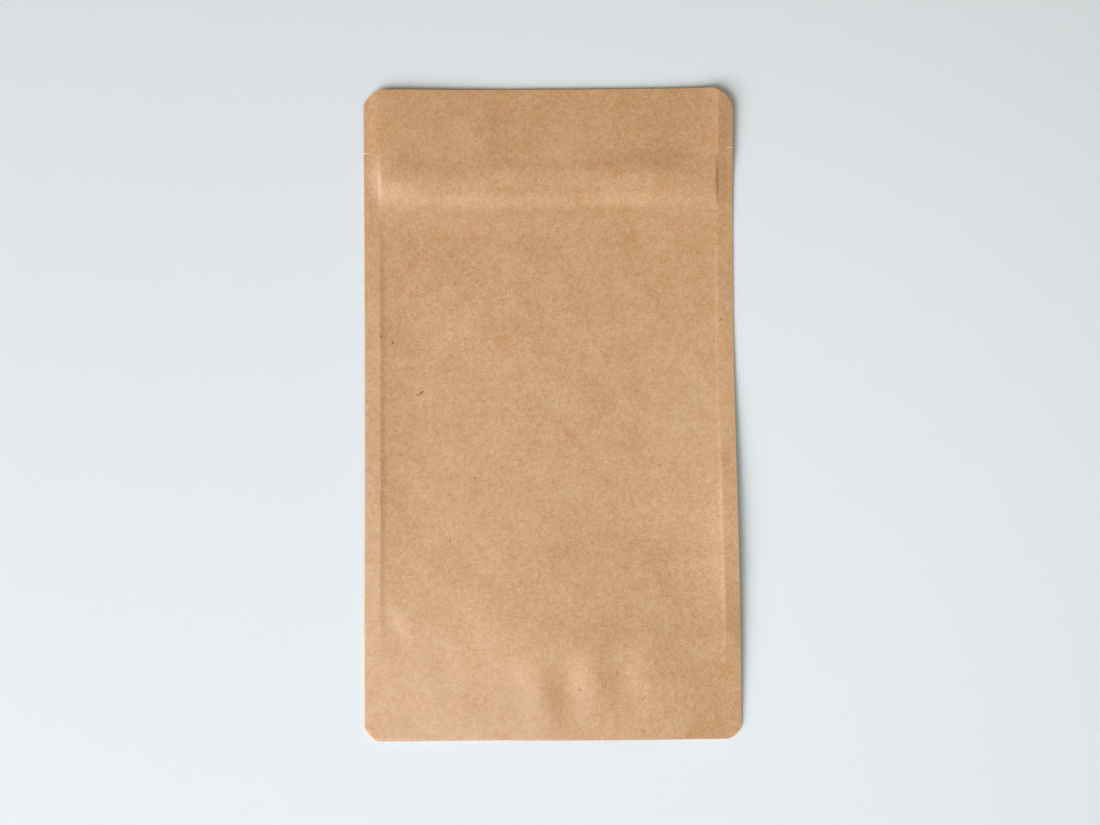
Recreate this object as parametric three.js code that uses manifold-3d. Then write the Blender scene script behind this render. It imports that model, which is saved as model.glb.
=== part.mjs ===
// A stand-up pouch of kraft paper laminate, empty and shut, lying on its back panel with
// its front panel up. X runs across the pouch, Y towards its mouth and Z up, in millimetres,
// and the origin is the middle of its footprint on the surface it lies on.
import * as THREE from "three";
import { mergeVertices } from "three/addons/utils/BufferGeometryUtils.js";
import Module from "manifold-3d";

const { clamp, lerp, smoothstep } = THREE.MathUtils;

// Flat size of the die-cut pouch
const width = 130;
const length = 227.6;
const halfWidth = width / 2;
const halfLength = length / 2;
const mouthY = halfLength;
const bottomY = -halfLength;

// Each corner is a punched arc: where it meets the end, where it meets the side, and its radius
const corners = {
  bottomLeft: { end: 4.6, side: 4.8, radius: 12 },
  bottomRight: { end: 5.5, side: 4.6, radius: 6.2 },
  mouthRight: { end: 7.2, side: 6.6, radius: 11 },
  mouthLeft: { end: 7.2, side: 5.5, radius: 9.5 },
};

// Tear notches, one slit in each side seal
const leftNotch = { belowMouth: 22.6, depth: 2.5, gape: 0.55 };
const rightNotch = { belowMouth: 21.8, depth: 3.1, gape: 0.82 };

// Side seals
const leftSeal = 5.5;
const rightSeal = 5;
const sealThickness = 0.5;
const leastThickness = 0.45;

// The relief below is given as heights above the surface the pouch lies on. Along the pouch a
// hump stands about a place and ends at its reach, and a rise climbs from one place to another.

// The sides draw in a little between the corners
const leftWaist = { height: 0.35, place: 0, reach: 95 };
const rightWaist = { height: 0.72, place: 17, reach: 110 };

// Cut edge of each side seal
const rimHeight = 0.62;
const leftRimLift = { height: 0.8, place: -18, reach: 95 };
const leftMouthLift = { height: 1.3, from: 70, to: mouthY };
const rightRimLift = { height: 2.9, place: -48, reach: 84 };
const rightMouthLift = { height: 2.6, from: 62, to: 112 };

// Inner line of each side seal, above its cut edge
const leftInnerRise = 0.17;
const leftUpperRise = { height: 0.32, place: 36, reach: 38 };
const rightInnerRise = 0.45;
const rightDrops = [
  { height: -0.18, place: -40, reach: 18 },
  { height: -0.43, place: 6, reach: 31 },
];
const rightRises = [
  { height: -0.4, from: -72, to: -44 },
  { height: 0.12, from: 28, to: 45 },
  { height: 0.4, from: 68, to: 82 },
  { height: -0.16, from: 92, to: 112 },
];

// Front panel between the seals
const panelLevel = 0.62;
const leftFade = 6.4; // the panel settles from a seal to its own level over this distance
const rightFade = 9.2;
const sideReach = 30; // and has left the seal's influence between these two distances
const middleReach = 55;
const sideLift = { height: 1.2, place: -58, reach: 75 }; // grows from the left side to the right
const sideEnd = 63;

// Swelling over the folded gusset, slanting down towards the right side
const leftSwell = 0.48;
const rightSwell = 3.1;
const swellFull = 5; // across the pouch, where the swelling reaches its right-hand height
const swellStart = -55;
const swellBelowMouth = 172.5;
const swellSlant = 0.22;
const swellRun = 36;
const swellTighter = { height: 0.25, from: 0, to: 60 }; // share of the run lost across the pouch
const swellSettles = { height: 0.4, from: 30, to: 64 }; // share of the height lost across the pouch
const gussetDepth = 38;
const foldDrop = 0.45; // down from the gusset's fold to the panel above it
const foldSoftness = 8;

// Press-to-close zip, a raised band across the pouch, and its crushed ends in the side seals
const zipRises = [
  { height: 0.27, from: 61.4, to: 71.4 },
  { height: 0.68, from: 71, to: 77.4 },
  { height: 0.5, from: 75.4, to: 85.4 },
  { height: -0.13, from: 85.4, to: 89.9 },
];
const zipSettles = { height: 0.45, from: 24, to: 52 }; // share of the rise lost across the pouch
const leftZipEnd = { height: 0.74, place: 78, reach: 13 };
const rightZipEnd = { height: 0.6, place: 81.8, reach: 12 };
const zipEndStart = 1; // in from the cut edge
const zipEndFull = 6.5;
const zipEndGone = 30;

// Mouth: two loose lips, curled up towards the corners
const lipFrom = 88.5;
const lipHeight = 1.38;
const lipDepth = 0.6; // both lips and the opening between them
const lipMiddle = -10;
const lipRightCurl = 0.1;
const lipLeftCurl = 0.8;
const lipLeftReach = 55;

// Two soft buckles over the bottom seal
const buckle = { height: 0.46, pitch: 21, crest: -5.75, centre: 9, halfSpread: 34, place: -93, reach: 18 };

// Creases of the front panel, at the gusset's left shoulder, above the left side's middle and
// beside the bottom seal, and the bend that takes the mouth's right corner down
const creases = [
  { x: -54.5, y: -72, turn: -54, halfLength: 14, width: 6, height: 0.5 },
  { x: -46, y: 36, turn: -48, halfLength: 38, width: 16, height: 0.5 },
  { x: -40, y: -93, turn: 90, halfLength: 14, width: 7, height: 0.35 },
];
const cornerBend = { x: 54, y: 104, turn: -38, halfLength: 30, width: 16, height: -0.45 };
const creaseFall = 6; // a crease has levelled out again after this many widths

const underFade = 28; // the back panel reaches the surface this far inside a side seal
const middleBlend = 20; // left and right sides blend over this far either side of the middle
const gussetFoldY = bottomY + gussetDepth;

// Grid of the relief: stations across are close together at the side seals
const edgeStations = [0, 2.5, rightSeal, 7, 10.5, 15];
const middleColumns = 19;
const rowCount = 52;
const overhang = 2; // the relief is a little larger than the outline that trims it
const outlineSteps = 10;

const wasm = await Module();
wasm.setup();

// 1 at the centre, falling smoothly to 0 at the given half width
function hump(value, centre, halfBand) {
  const offset = clamp((value - centre) / halfBand, -1, 1);
  return (1 - offset ** 2) ** 2;
}

function humpAt(y, { height, place, reach }) {
  return height * hump(y, place, reach);
}

function riseAt(y, { height, from, to }) {
  return height * smoothstep(y, from, to);
}

function sumOf(parts, heightOf) {
  return parts.reduce((sum, part) => sum + heightOf(part), 0);
}

// Heights of one side seal at its cut edge and at its inner line
function leftSealHeights(y) {
  const rim = rimHeight + humpAt(y, leftRimLift) + riseAt(y, leftMouthLift);
  return { rim, inner: rim + leftInnerRise + humpAt(y, leftUpperRise) };
}

function rightSealHeights(y) {
  const rim = rimHeight + humpAt(y, rightRimLift) + riseAt(y, rightMouthLift);
  const drops = sumOf(rightDrops, (drop) => humpAt(y, drop));
  const rises = sumOf(rightRises, (rise) => riseAt(y, rise));
  return { rim, inner: rim + rightInnerRise + drops + rises };
}

// Front lip of the mouth
function lipTop(x) {
  const toRight = clamp((x - lipMiddle) / (halfWidth - lipMiddle), 0, 1);
  const toLeft = Math.max((lipMiddle - x) / lipLeftReach, 0);
  return lipHeight + lipRightCurl * smoothstep(toRight, 0, 1) + lipLeftCurl * toLeft ** 2;
}

function creaseHeight(x, y, crease) {
  const turn = THREE.MathUtils.degToRad(crease.turn);
  const along = (x - crease.x) * Math.cos(turn) + (y - crease.y) * Math.sin(turn);
  const across = (y - crease.y) * Math.cos(turn) - (x - crease.x) * Math.sin(turn);
  const step = smoothstep(across, -crease.width / 2, crease.width / 2);
  const fall = smoothstep(across, crease.width, crease.width * creaseFall);
  return crease.height * (step - fall) * hump(along, 0, crease.halfLength);
}

// Front panel away from the side seals
function panelHeight(x, y) {
  const swellY = mouthY - swellBelowMouth - swellSlant * Math.max(x, 0);
  const run = swellRun * (1 - riseAt(x, swellTighter));
  const fullSwell = lerp(leftSwell, rightSwell, smoothstep(x, swellStart, swellFull));
  const swellHeight = fullSwell * (1 - riseAt(x, swellSettles));
  const swell = swellHeight * (1 - smoothstep(y, swellY - run, swellY + run));
  const aboveFold = smoothstep(y, gussetFoldY - foldSoftness, gussetFoldY + foldSoftness);
  const fold = foldDrop * (1 - aboveFold) * smoothstep(x, -sideEnd, middleBlend);
  const zip = sumOf(zipRises, (rise) => riseAt(y, rise)) * (1 - riseAt(x, zipSettles));
  const lift = humpAt(y, sideLift) * smoothstep(x, -sideEnd, sideEnd);
  const raised = panelLevel + swell + fold + zip + lift;
  const level = lerp(raised, lipTop(x), smoothstep(y, lipFrom, mouthY));
  const wave = Math.cos((x - buckle.crest) / buckle.pitch * 2 * Math.PI);
  const waves = humpAt(y, buckle) * wave * hump(x, buckle.centre, buckle.halfSpread);
  return level + waves + sumOf(creases, (crease) => creaseHeight(x, y, crease));
}

// How much of a crushed zip end is left at a distance in from the cut edge
function zipEndShare(fromEdge) {
  return smoothstep(fromEdge, zipEndStart, zipEndFull) * (1 - smoothstep(fromEdge, zipEndFull, zipEndGone));
}

// What the two sides hand to a point: seal width and heights, blended across the middle
function sideShape(x, y) {
  const share = smoothstep(x, -middleBlend, middleBlend);
  const left = leftSealHeights(y);
  const right = rightSealHeights(y);
  const fromEdge = clamp(halfWidth - Math.abs(x), 0, halfWidth);
  const seal = lerp(leftSeal, rightSeal, share);
  const zipEnd = lerp(humpAt(y, leftZipEnd), humpAt(y, rightZipEnd), share);
  return {
    fromEdge,
    seal,
    fromSeal: Math.max(fromEdge - seal, 0),
    rim: lerp(left.rim, right.rim, share),
    inner: lerp(left.inner, right.inner, share),
    fade: lerp(leftFade, rightFade, share),
    zipEnd: zipEnd * zipEndShare(fromEdge),
  };
}

// Top of the pouch
function topHeight(x, y) {
  const { fromEdge, seal, fromSeal, rim, inner, fade, zipEnd } = sideShape(x, y);
  const bend = creaseHeight(x, y, cornerBend);
  if (fromEdge < seal) return lerp(rim, inner, fromEdge / seal) + zipEnd + bend;
  const panel = panelHeight(x, y);
  const held = Math.exp(-fromSeal / fade) * (1 - smoothstep(fromSeal, sideReach, middleReach));
  return lerp(panel, inner, held) + zipEnd + bend;
}

// Underside of the pouch: flat on the surface in the middle, lifted at the sides and the mouth
function underHeight(x, y) {
  const { fromEdge, seal, fromSeal, rim, inner } = sideShape(x, y);
  const side = fromEdge < seal
    ? lerp(rim, inner, fromEdge / seal) - sealThickness
    : (inner - sealThickness) * Math.max(1 - fromSeal / underFade, 0);
  const lip = (lipTop(x) - lipDepth) * smoothstep(y, lipFrom, mouthY);
  return clamp(Math.max(side, lip), 0, topHeight(x, y) - leastThickness);
}

// Stations across the pouch, mirrored about the middle and close together at the seals
function columnStations() {
  const inner = halfWidth - edgeStations.at(-1);
  const left = [-overhang, ...edgeStations].map((offset) => offset - halfWidth);
  const share = (i) => (i + 1) / (middleColumns + 1);
  const middle = Array.from({ length: middleColumns }, (_, i) => lerp(-inner, inner, share(i)));
  return [...left, ...middle, ...left.map((x) => -x).reverse()];
}

// Stations along the pouch, evenly spaced
function rowStations() {
  const reach = halfLength + overhang;
  return Array.from({ length: rowCount + 1 }, (_, i) => lerp(-reach, reach, i / rowCount));
}

// A closed block whose top and underside follow the two height functions
function reliefGeometry() {
  const columns = columnStations();
  const rows = rowStations();
  const positions = [];
  for (const height of [topHeight, underHeight]) {
    for (const y of rows) {
      for (const x of columns) positions.push(x, y, height(x, y));
    }
  }
  const layerSize = columns.length * rows.length;
  const top = (column, row) => row * columns.length + column;
  const under = (column, row) => layerSize + top(column, row);
  const faces = [];
  const addQuad = (a, b, c, d) => faces.push(a, b, c, a, c, d);
  const lastColumn = columns.length - 1;
  const lastRow = rows.length - 1;
  for (let row = 0; row < lastRow; row++) {
    const above = row + 1;
    for (let column = 0; column < lastColumn; column++) {
      const next = column + 1;
      addQuad(top(column, row), top(next, row), top(next, above), top(column, above));
      addQuad(under(column, row), under(column, above), under(next, above), under(next, row));
    }
    addQuad(top(0, above), under(0, above), under(0, row), top(0, row));
    addQuad(top(lastColumn, row), under(lastColumn, row), under(lastColumn, above), top(lastColumn, above));
  }
  for (let column = 0; column < lastColumn; column++) {
    const next = column + 1;
    addQuad(top(column, 0), under(column, 0), under(next, 0), top(next, 0));
    addQuad(top(next, lastRow), under(next, lastRow), under(column, lastRow), top(column, lastRow));
  }
  const geometry = new THREE.BufferGeometry();
  geometry.setAttribute("position", new THREE.Float32BufferAttribute(positions, 3));
  geometry.setIndex(faces);
  return geometry;
}

// Adds an arc that bulges outwards between two points of an outline drawn anticlockwise
function addCorner(outline, from, to, radius) {
  const chord = to.clone().sub(from);
  const inwards = new THREE.Vector2(-chord.y, chord.x).normalize();
  const inset = Math.sqrt(radius ** 2 - (chord.length() / 2) ** 2);
  const centre = from.clone().add(to).multiplyScalar(0.5).addScaledVector(inwards, inset);
  const start = from.clone().sub(centre).angle();
  const end = to.clone().sub(centre).angle();
  outline.lineTo(from.x, from.y);
  outline.absarc(centre.x, centre.y, radius, start, end, false);
}

// Adds a pointed slit to one side of an outline drawn anticlockwise: side is 1 right, -1 left
function addNotch(outline, { belowMouth, depth, gape }, side) {
  const notchY = mouthY - belowMouth;
  outline.lineTo(side * halfWidth, notchY - side * gape / 2);
  outline.lineTo(side * (halfWidth - depth), notchY);
  outline.lineTo(side * halfWidth, notchY + side * gape / 2);
}

// The die-cut outline with its corners and tear notches
function pouchOutline() {
  const { bottomLeft, bottomRight, mouthRight, mouthLeft } = corners;
  const point = (x, y) => new THREE.Vector2(x, y);
  const outline = new THREE.Shape();
  outline.moveTo(bottomLeft.end - halfWidth, bottomY);
  addCorner(
    outline,
    point(halfWidth - bottomRight.end, bottomY),
    point(halfWidth, bottomY + bottomRight.side),
    bottomRight.radius,
  );
  addNotch(outline, rightNotch, 1);
  addCorner(
    outline,
    point(halfWidth, mouthY - mouthRight.side),
    point(halfWidth - mouthRight.end, mouthY),
    mouthRight.radius,
  );
  addCorner(
    outline,
    point(mouthLeft.end - halfWidth, mouthY),
    point(-halfWidth, mouthY - mouthLeft.side),
    mouthLeft.radius,
  );
  addNotch(outline, leftNotch, -1);
  addCorner(
    outline,
    point(-halfWidth, bottomY + bottomLeft.side),
    point(bottomLeft.end - halfWidth, bottomY),
    bottomLeft.radius,
  );
  return outline;
}

// The outline as a block taller than the pouch, to trim the relief with
function outlineGeometry() {
  const depth = 12;
  const settings = { depth, bevelEnabled: false, curveSegments: outlineSteps };
  return new THREE.ExtrudeGeometry(pouchOutline(), settings).translate(0, 0, -depth / 2);
}

// Draws the sides in at the waist
function drawIn(vertex) {
  const [x, y] = vertex;
  const waist = humpAt(y, x < 0 ? leftWaist : rightWaist);
  vertex[0] = x - x / halfWidth * waist;
}

function toSolid(geometry) {
  geometry.deleteAttribute("normal");
  geometry.deleteAttribute("uv");
  const merged = mergeVertices(geometry);
  return new wasm.Manifold(new wasm.Mesh({
    numProp: 3,
    vertProperties: merged.attributes.position.array,
    triVerts: new Uint32Array(merged.index.array),
  }));
}

function toGeometry(solid) {
  const { vertProperties, triVerts } = solid.getMesh();
  const geometry = new THREE.BufferGeometry();
  geometry.setAttribute("position", new THREE.BufferAttribute(vertProperties, 3));
  geometry.setIndex(new THREE.BufferAttribute(triVerts, 1));
  geometry.computeVertexNormals();
  return geometry;
}

const kraft = new THREE.MeshStandardMaterial({ color: 0xcba37c, roughness: 0.75, metalness: 0 });
const trimmed = toSolid(reliefGeometry()).intersect(toSolid(outlineGeometry()));
const pouch = new THREE.Mesh(toGeometry(trimmed.warp(drawIn)), kraft);
pouch.name = "pouch";

const group = new THREE.Group();
group.add(pouch);

export default group;
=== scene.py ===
import math

import bpy
import numpy as np
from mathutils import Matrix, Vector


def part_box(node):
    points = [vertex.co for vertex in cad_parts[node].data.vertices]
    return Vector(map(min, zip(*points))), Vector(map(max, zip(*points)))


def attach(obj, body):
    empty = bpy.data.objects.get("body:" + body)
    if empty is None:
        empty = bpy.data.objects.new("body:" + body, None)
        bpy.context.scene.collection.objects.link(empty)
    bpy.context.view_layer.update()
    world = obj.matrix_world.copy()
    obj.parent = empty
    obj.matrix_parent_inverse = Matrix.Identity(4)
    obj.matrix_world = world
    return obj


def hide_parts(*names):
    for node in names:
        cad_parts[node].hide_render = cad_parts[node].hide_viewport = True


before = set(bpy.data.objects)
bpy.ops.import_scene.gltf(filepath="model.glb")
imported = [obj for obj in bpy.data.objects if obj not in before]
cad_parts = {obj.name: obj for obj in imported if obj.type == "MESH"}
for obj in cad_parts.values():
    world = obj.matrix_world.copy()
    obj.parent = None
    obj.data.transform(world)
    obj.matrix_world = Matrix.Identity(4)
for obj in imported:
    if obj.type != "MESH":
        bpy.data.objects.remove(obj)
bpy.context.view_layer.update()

mm = 0.001  # the pouch is sized in millimetres and becomes metres only in its meshes
pouchLow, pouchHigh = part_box("pouch")
halfWidth = (pouchHigh.x - pouchLow.x) / 2 / mm
halfLength = (pouchHigh.y - pouchLow.y) / 2 / mm
mouthY = halfLength
bottomY = -halfLength
print(f"frame: pouch {2 * halfWidth:.1f} x {2 * halfLength:.1f} mm")


# a number travelling through a node tree, so heights and patterns can be written as sums
class Flow:
    def __init__(self, tree, socket):
        self.tree = tree
        self.socket = socket

    def via(self, operation, *others, clamp=False):
        node = self.tree.nodes.new("ShaderNodeMath")
        node.operation = operation
        node.use_clamp = clamp
        for slot, value in zip(node.inputs, (self, *others)):
            feed(self.tree, slot, value)
        return Flow(self.tree, node.outputs[0])

    def __add__(self, other):
        return self.via("ADD", other)

    def __sub__(self, other):
        return self.via("SUBTRACT", other)

    def __mul__(self, other):
        return self.via("MULTIPLY", other)

    def __truediv__(self, other):
        return self.via("DIVIDE", other)

    def __rsub__(self, other):
        return (self * -1.0) + other

    __radd__ = __add__
    __rmul__ = __mul__


def feed(tree, slot, value):
    if isinstance(value, Flow):
        tree.links.new(value.socket, slot)
    elif isinstance(value, bpy.types.NodeSocket):
        tree.links.new(value, slot)
    else:
        slot.default_value = value


def smooth(value, low, high):  # 0 below low, 1 above high, an S curve between
    node = value.tree.nodes.new("ShaderNodeMapRange")
    node.interpolation_type = "SMOOTHSTEP"
    feed(value.tree, node.inputs["Value"], value)
    feed(value.tree, node.inputs["From Min"], low)
    feed(value.tree, node.inputs["From Max"], high)
    return Flow(value.tree, node.outputs["Result"])


def hump(value, middle, reach):  # 1 in the middle, 0 beyond its reach to either side
    offset = ((value - middle) / reach).via("ABSOLUTE").via("MINIMUM", 1.0)
    return (1.0 - offset * offset).via("POWER", 2.0)


def blendTo(first, second, share):
    return first + (second - first) * share


def strongest(fields):  # the greatest of several fields, place by place
    result = fields[0]
    for field in fields[1:]:
        result = result.via("MAXIMUM", field)
    return result


def splitPlace(tree, vector):  # the x and y of a place, as two fields
    parts = tree.nodes.new("ShaderNodeSeparateXYZ")
    tree.links.new(vector, parts.inputs[0])
    return Flow(tree, parts.outputs["X"]), Flow(tree, parts.outputs["Y"])


def turnedPlace(x, y, mark):  # distances along and across the turned direction of a mark
    cosine, sine = math.cos(math.radians(mark["turn"])), math.sin(math.radians(mark["turn"]))
    right, up = x - mark["x"], y - mark["y"]
    return right * cosine + up * sine, up * cosine - right * sine


def newTree(name, inputs):
    tree = bpy.data.node_groups.new(name, "GeometryNodeTree")
    tree.is_modifier = True
    tree.interface.new_socket("Geometry", in_out="INPUT", socket_type="NodeSocketGeometry")
    tree.interface.new_socket("Geometry", in_out="OUTPUT", socket_type="NodeSocketGeometry")
    kinds = {bool: "NodeSocketBool", int: "NodeSocketInt", float: "NodeSocketFloat"}
    for label, value in inputs.items():
        kind = kinds.get(type(value), "NodeSocketMaterial")
        tree.interface.new_socket(label, in_out="INPUT", socket_type=kind)
    return tree


def addModifier(obj, tree, values):
    modifier = obj.modifiers.new(tree.name, "NODES")
    modifier.node_group = tree
    for item in tree.interface.items_tree:
        if item.item_type == "SOCKET" and item.in_out == "INPUT" and item.name in values:
            modifier[item.identifier] = values[item.name]  # by identifier, before the first evaluation
    return modifier


def settle(obj, sharpFrom=40.0):  # turns the live modifiers into a plain mesh
    graph = bpy.context.evaluated_depsgraph_get()
    evaluated = obj.evaluated_get(graph)
    mesh = bpy.data.meshes.new_from_object(evaluated, preserve_all_data_layers=True, depsgraph=graph)
    obj.modifiers.clear()
    old = obj.data
    obj.data = mesh
    mesh.name = obj.name
    bpy.data.meshes.remove(old)
    mesh.set_sharp_from_angle(angle=math.radians(sharpFrom))
    return obj


# the flat blank that each layer of the pouch is cut from
blank = {
    # each punched corner: how far along the end, how far up the side, and the radius of its arc
    "bottomLeft": (4.6, 4.8, 12.0),
    "bottomRight": (5.5, 4.6, 6.2),
    "mouthRight": (7.2, 6.6, 11.0),
    "mouthLeft": (7.2, 5.5, 9.5),
    # each tear notch: how far below the mouth, how deep, and its share of the layer's gape
    "leftNotch": (22.6, 2.5, 1.0),
    "rightNotch": (21.8, 3.1, 1.5),
    # rows of the grid: even ones, closer ones at each end, and close ones to either side of a notch
    "rowStep": 1.05,
    "endRows": 15,
    "endReach": 8.5,
    "slitRows": (0.12, 0.25, 0.42, 0.8),
    "slitReach": 1.3,
    # columns: at the cut, over the seal, and about the seal's inner line
    "cutColumns": (0.0, 0.15, 0.35, 0.6),
    "bandStart": 1.0,
    "bandEnd": 4.45,
    "bandColumns": 6,
    "sealLine": 5.25,
    "sealColumns": (-0.5, -0.25, 0, 0.25, 0.5, 0.8, 1.2, 1.7, 2.3, 3.1, 4.0),
    # how far in from the side a notch and a corner still push the columns
    "notchReach": 4.25,
    "cornerReach": 14.0,
}


def punchInset(fromEnd, corner):  # how far the punched corner stands in from the side at this row
    alongEnd, alongSide, radius = corner
    if fromEnd >= alongSide:
        return 0.0
    chord = math.hypot(alongEnd, alongSide)
    rise = math.sqrt(radius ** 2 - chord ** 2 / 4)
    centreX = alongEnd / 2 + rise * alongSide / chord
    centreY = alongSide / 2 + rise * alongEnd / chord
    return max(centreX - math.sqrt(max(radius ** 2 - (fromEnd - centreY) ** 2, 0.0)), 0.0)


def rowPlaces(high):  # close together at the ends and at the tear notches
    eased = blank["endReach"] * np.linspace(0, 1, blank["endRows"]) ** 2
    beside = np.array(blank["slitRows"])
    slit = np.concatenate([-beside[::-1], [0], beside])
    notches = mouthY - np.array([blank["leftNotch"][0], blank["rightNotch"][0]])
    mouthArcs = mouthY - np.array([blank[name][1] for name in ("mouthRight", "mouthLeft")])
    bottomArcs = bottomY + np.array([blank[name][1] for name in ("bottomRight", "bottomLeft")])
    even = np.arange(bottomY + blank["endReach"], mouthY - blank["endReach"] + 0.1, blank["rowStep"])
    even = even[np.abs(even - notches.mean()) > blank["slitReach"]]
    slits = [slit + y for y in notches]
    rows = np.concatenate([bottomY + eased, mouthY - eased, *slits, even, mouthArcs, bottomArcs])
    rows = np.unique(np.round(rows, 3))
    return rows[(rows >= bottomY - 1e-6) & (rows <= high + 1e-6)]


def columnPlaces(step):  # distances in from the side, close together at the cut and the seal's inner line
    band = np.linspace(blank["bandStart"], blank["bandEnd"], blank["bandColumns"])
    fine = np.concatenate([blank["cutColumns"], band, blank["sealLine"] + np.array(blank["sealColumns"])])
    count = int((halfWidth - fine[-1]) / step)
    return np.concatenate([fine, np.linspace(fine[-1], halfWidth, count + 1)[1:]])


def pushed(inwards, y, side, gape):  # the columns of one side at this row, clear of its notch and corners
    below, depth, share = blank[f"{side}Notch"]
    slit = depth * max(0.0, 1 - abs(mouthY - below - y) / (gape * share / 2))
    near = blank["notchReach"]
    moved = np.where(inwards < near, slit + inwards * (near - slit) / near, inwards)
    inset = punchInset(y - bottomY, blank[f"bottom{side.title()}"])
    inset = inset + punchInset(mouthY - y, blank[f"mouth{side.title()}"])
    reach = blank["cornerReach"]
    return np.where(moved < reach, inset + moved * (reach - inset) / reach, moved)


# a flat grid inside the punched outline, which knows how far each point is from the cut
def cutBlank(name, high, step, gape):
    rows = rowPlaces(high)
    inwards = columnPlaces(step)
    grid = np.zeros((len(rows), 2 * len(inwards) - 1, 3))
    fromCut = np.zeros(grid.shape[:2])
    for index, y in enumerate(rows):
        left = pushed(inwards, y, "left", gape)
        right = pushed(inwards, y, "right", gape)
        grid[index, :, 0] = np.concatenate([left - halfWidth, (halfWidth - right[:-1])[::-1]])
        grid[index, :, 1] = y
        fromSide = np.concatenate([left - left[0], (right[:-1] - right[0])[::-1]])
        fromCut[index] = np.minimum(fromSide, min(mouthY - y, y - bottomY))
    height, width = fromCut.shape
    corner = np.arange(height * width).reshape(height, width)
    faces = np.stack([corner[:-1, :-1], corner[:-1, 1:], corner[1:, 1:], corner[1:, :-1]], axis=-1)
    mesh = bpy.data.meshes.new(name)
    mesh.from_pydata((grid.reshape(-1, 3) * mm).tolist(), [], faces.reshape(-1, 4).tolist())
    mesh.attributes.new("fromCut", "FLOAT", "POINT").data.foreach_set("value", fromCut.ravel())
    mesh.polygons.foreach_set("use_smooth", np.ones(len(mesh.polygons), dtype=bool))
    mesh.update()
    obj = bpy.data.objects.new(name, mesh)
    bpy.context.scene.collection.objects.link(obj)
    return obj


# kraft laminate and its cut edge
kraft = {
    # the pulp runs unevenly between two colours: how fine each noise is, and its weight
    "light": (0.719, 0.471, 0.262),
    "dark": (0.465, 0.157, 0.016),
    "cloud": {"perMillimetre": 0.09, "detail": 3.0, "roughness": 0.85, "weight": 0.66},
    "mottle": {"perMillimetre": 0.52, "detail": 2.0, "roughness": 0.8, "weight": 0.66},
    "grain": {"perMillimetre": 1.9, "detail": 1.0, "roughness": 0.8, "weight": 1.25},
    # patches that dried a little pinker or greener
    "hue": {"perMillimetre": 0.45, "detail": 2.0, "roughness": 1.0, "weight": 2.2},
    "pinkPatch": (0.70, 0.325, 0.185),
    "olivePatch": (0.56, 0.365, 0.135),
    # fibres lie six ways, pale and deep by turns
    "fibreTurns": (12, 74, 131, 38, 102, 165),
    "fibreLength": 2.6,
    "fibreWidth": 0.30,
    "fibreRange": (0.14, 0.26),
    "fibreLight": (0.74, 0.50, 0.31),
    "fibreDark": (0.42, 0.21, 0.09),
    "lightShare": 0.26,
    "darkShare": 0.182,
    # sparse dark bits left in the pulp
    "bark": (0.23, 0.055, 0.0),
    "barkShare": 0.92,
    "bits": {"cell": 30.0, "reach": 0.26, "least": 0.104, "keep": 0.4, "turn": 70, "stretch": 1.3,
             "softFrom": 0.5, "share": 0.5},
    "markSoftFrom": 0.6,
    # a little more orange right at the cut
    "cutLine": (0.77, 0.40, 0.15),
    "cutShare": 0.45,
    "cutReach": (0.15, 0.45),
    # painted highlight where the left end of the zip presses up: a fine glint line in a soft band
    "paintedGlintColour": (0.95, 0.76, 0.62),
    "paintedGlintShare": 0.33,
    "glintBelowMouth": 33.3,
    "glintLong": 10.5,
    "glintLine": {"fromCut": 5.5, "reach": 1.0, "weight": 0.6},
    "glintBand": {"fromCut": 5.0, "reach": 3.4, "weight": 0.4},
    # painted shade and painted light for the broad spots on the front, where the relief gives too little
    # shading
    "paintedShadeTone": (0.14, 0.055, 0.012),
    "paintedLightTone": (0.80, 0.56, 0.36),
    # finish: the bump adds the mottle, the pale fibres and the deep ones to the grain by weight
    "roughness": 0.52,
    "grainRoughness": 0.12,
    "bumpStrength": 0.6,
    "bumpHeight": 0.035,
    "bumpWeights": (0.6, 0.5, 0.3),
}

# painted shade and painted light on the front, darker or paler where the relief gives too little shading:
# place, reach each way in millimetres, and share, below 0 for darker (painted shade)
paintedShadingSpots = [
    {"x": 54.0, "y": 106.0, "wide": 27.0, "long": 26.0, "share": -0.115},
    {"x": 60.5, "y": -71.0, "wide": 12.0, "long": 15.0, "share": -0.15},
    {"x": 60.5, "y": 82.5, "wide": 5.0, "long": 13.0, "share": -0.09},
    {"x": 59.4, "y": 82.0, "wide": 0.8, "long": 12.0, "share": -0.26},
    {"x": 56.0, "y": 82.0, "wide": 9.0, "long": 12.0, "share": -0.09},
    {"x": 48.0, "y": 74.0, "wide": 17.0, "long": 12.0, "share": -0.07},
    {"x": -22.0, "y": -104.0, "wide": 64.0, "long": 20.0, "share": -0.10},
    {"x": 50.0, "y": 3.0, "wide": 22.0, "long": 32.0, "share": 0.12},
    {"x": -36.0, "y": 96.0, "wide": 18.0, "long": 15.0, "share": 0.12},
    {"x": 11.0, "y": 97.0, "wide": 17.0, "long": 15.0, "share": 0.12},
]

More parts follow.
